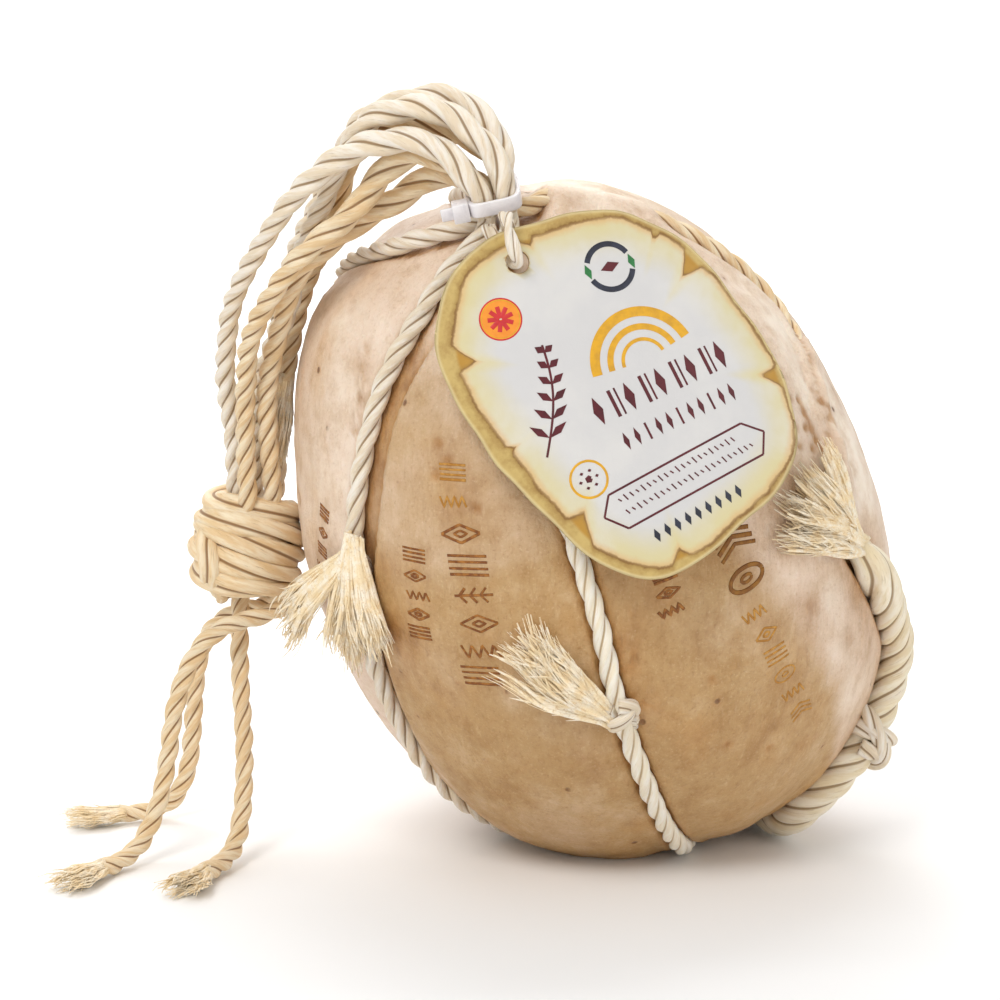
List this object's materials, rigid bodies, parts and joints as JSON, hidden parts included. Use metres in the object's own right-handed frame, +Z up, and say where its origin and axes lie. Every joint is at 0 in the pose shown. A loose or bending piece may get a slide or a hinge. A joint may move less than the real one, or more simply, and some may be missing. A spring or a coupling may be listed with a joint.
{
  "type": "provolone cheese",
  "caption": "Whole melon-shaped aged cheese in a twisted-cord harness, with a hanging cord bundle, a big knot, frayed ends and a bent card tag on a loop.",
  "frame": {"origin": "middle of the small flat spot that the cheese rests on", "axes": "+Z up, -Y towards the front with the tag, +X to the viewer's right"},
  "size_m": [0.2777, 0.1952, 0.2438],
  "materials": {
    "rind": "satin natural rind, mottled tan and pinkish beige",
    "cord": "matt twisted paper cord, pale straw",
    "fibre": "matt frayed fibres, pale straw",
    "tie": "cloudy white nylon",
    "card": "coated card with an aged straw-coloured border"
  },
  "bodies": {
    "root": {"cheese_body": "rind", "rope_left": "cord", "rope_left_front": "cord", "rope_centre": "cord", "rope_right": "cord", "rope_back_right": "cord", "rope_back": "cord", "rope_right_double": "cord", "knot_under": "cord", "knot_left_front": "cord", "knot_centre": "cord", "knot_right": "cord", "brush_left_front": "fibre", "brush_centre": "fibre", "brush_right": "fibre", "cable_tie": "tie", "strand_outer": "cord", "strand_second": "cord", "strand_low": "cord", "strand_front": "cord", "strand_inner": "cord", "strand_back": "cord", "strand_back_tuft": "fibre", "knot_hanging": "cord", "tail_front": "cord", "tail_front_tuft": "fibre", "tail_left": "cord", "tail_left_tuft": "fibre", "tail_back": "cord", "tail_back_tuft": "fibre", "tag_card": "card", "tag_loop": "cord"}
  },
  "joints": []
}
